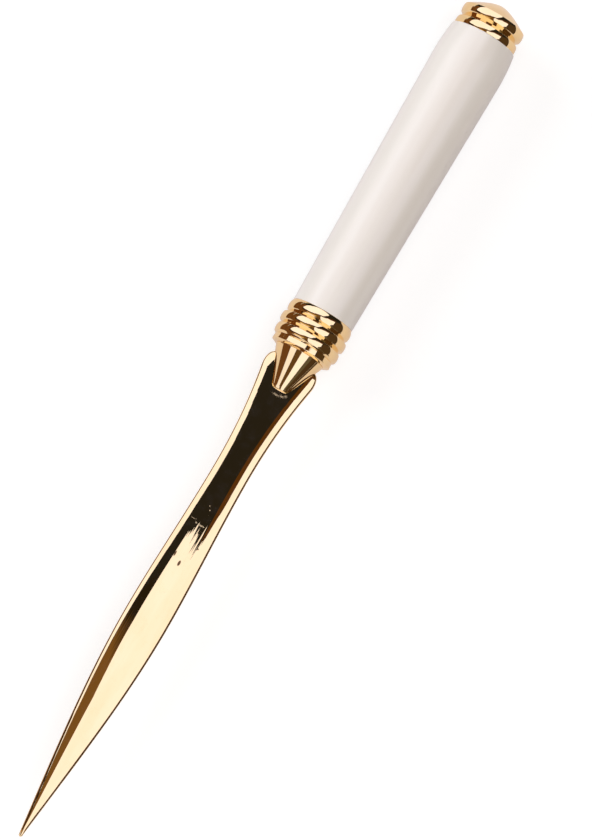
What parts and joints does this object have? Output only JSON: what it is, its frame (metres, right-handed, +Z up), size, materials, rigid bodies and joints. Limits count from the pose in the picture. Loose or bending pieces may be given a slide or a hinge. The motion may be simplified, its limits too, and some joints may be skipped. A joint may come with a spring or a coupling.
{
  "type": "letter opener",
  "caption": "Letter opener with a flat waisted gilt blade, slotted nose cone, beaded ferrule, tapered white turned barrel and domed gilt end cap.",
  "frame": {"origin": "On the desk, below the middle of the length, under the long axis, with the opener lying on its handle", "axes": "+X along the long axis from the blade's tip to the end cap, +Y across the blade, +Z up, square to the blade's flat face"},
  "size_m": [0.216, 0.017, 0.017],
  "materials": {
    "gilt": "mirror polished gold plate on brass",
    "white_acrylic": "polished, with faint lengthwise pearl streaks",
    "plain_brass": "turned, unplated",
    "pin_steel": "drawn wire"
  },
  "bodies": {
    "root": {"blade": "gilt", "nose_cone": "gilt", "beaded_ferrule": "gilt", "cap_ring": "gilt", "finial": "gilt", "barrel": "white_acrylic", "liner_tube": "plain_brass", "lower_bush": "plain_brass", "upper_bush": "plain_brass", "finial_stud": "plain_brass", "tang_pin": "pin_steel"}
  },
  "joints": []
}
